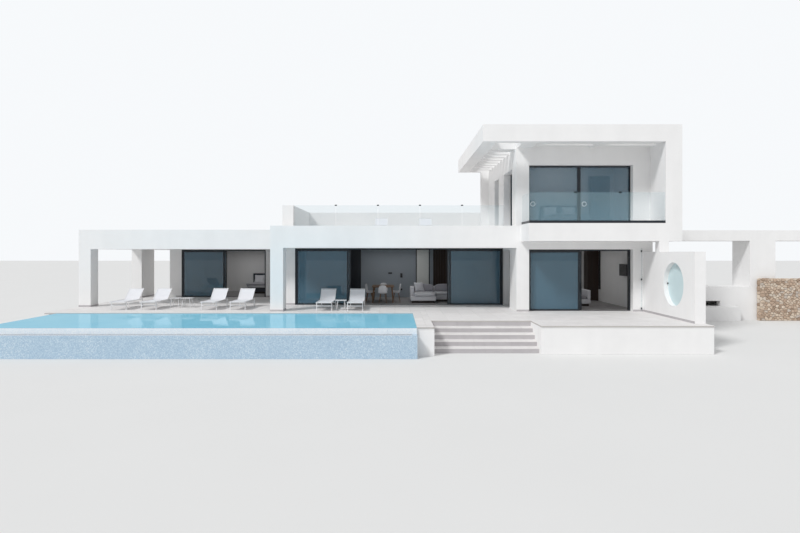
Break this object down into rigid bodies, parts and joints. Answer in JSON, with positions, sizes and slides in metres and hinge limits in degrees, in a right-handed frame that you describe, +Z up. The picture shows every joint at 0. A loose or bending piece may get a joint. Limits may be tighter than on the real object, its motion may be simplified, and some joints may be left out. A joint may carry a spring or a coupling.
{
  "type": "beach house",
  "caption": "Flat-roofed beach house with covered terraces, sliding glass doors, pergola canopy, roof terrace, round window wall, open gallery, steps and infinity pool.",
  "frame": {"origin": "on the ground under the front face of the living block, 4.83 m from its left corner", "axes": "+X across the front to the right, +Y back into the house, +Z up"},
  "size_m": [34.75, 17.87, 7.85],
  "materials": {
    "white_render": "matte",
    "paving_stone": "matte",
    "pool_mosaic": "gloss",
    "rubble_stone": "matte",
    "white_aluminium": "satin",
    "sling_fabric": "matte",
    "moulded_white": "satin",
    "upholstery": "matte",
    "panel_timber": "satin",
    "black_plastic": "satin",
    "dark_aluminium": "satin",
    "tinted_glass": "gloss",
    "clear_glass": "gloss"
  },
  "bodies": {
    "house": {"balustrade_clamps": "dark_aluminium", "balustrade_glass": "clear_glass", "balustrade_shoes": "dark_aluminium", "bedroom_front_walls": "white_render", "bedroom_rear_wall": "white_render", "bedroom_side_walls": "white_render", "canopy_frame": "white_render", "deck_paving": "paving_stone", "door_heads": "dark_aluminium", "door_jambs": "dark_aluminium", "door_sills": "dark_aluminium", "fixed_glass": "tinted_glass", "fixed_sashes": "dark_aluminium", "gallery_piers": "white_render", "gallery_plinth": "white_render", "gallery_roof": "white_render", "guest_front_pier": "white_render", "guest_left_wall": "white_render", "guest_lintel": "white_render", "guest_rear_wall": "white_render", "guest_right_wall": "white_render", "house_plinth": "white_render", "interior_floors": "paving_stone", "left_wing_roof": "white_render", "living_left_wall": "white_render", "living_rear_wall": "white_render", "lounger_slings": "sling_fabric", "main_roof": "white_render", "pergola_slats": "white_render", "pool_basin": "pool_mosaic", "pool_coping": "paving_stone", "pool_gutter": "pool_mosaic", "portico_pillars": "white_render", "roof_parapet": "white_render", "round_window_glass": "clear_glass", "round_window_wall": "white_render", "rubble_wall": "rubble_stone", "sofa_and_beds": "upholstery", "step_treads": "paving_stone", "sun_loungers": "white_aluminium", "tables_and_chairs": "moulded_white", "terrace_podium": "white_render", "terrace_steps": "white_render", "upper_floor_slab": "white_render", "upper_front_wall": "white_render", "upper_left_wall": "white_render", "upper_rear_wall": "white_render", "upper_right_wall": "white_render", "wall_fittings": "black_plastic", "wall_panels": "panel_timber", "window_frames": "dark_aluminium", "window_glass": "tinted_glass"},
    "bedroom_slider": {"bedroom_slider_frame": "dark_aluminium", "bedroom_slider_glass": "tinted_glass"},
    "living_left_slider": {"living_left_slider_frame": "dark_aluminium", "living_left_slider_glass": "tinted_glass"},
    "living_right_slider": {"living_right_slider_frame": "dark_aluminium", "living_right_slider_glass": "tinted_glass"},
    "guest_slider": {"guest_slider_frame": "dark_aluminium", "guest_slider_glass": "tinted_glass"}
  },
  "joints": [
    {"name": "bedroom_slide", "type": "slide", "parent": "house", "child": "bedroom_slider", "axis": [1, 0, 0], "range_m": [0, 1.954]},
    {"name": "living_left_slide", "type": "slide", "parent": "house", "child": "living_left_slider", "axis": [1, 0, 0], "range_m": [0, 2.1]},
    {"name": "living_right_slide", "type": "slide", "parent": "house", "child": "living_right_slider", "axis": [-1, 0, 0], "range_m": [0, 2.1]},
    {"name": "guest_slide", "type": "slide", "parent": "house", "child": "guest_slider", "axis": [1, 0, 0], "range_m": [0, 1.814]}
  ]
}
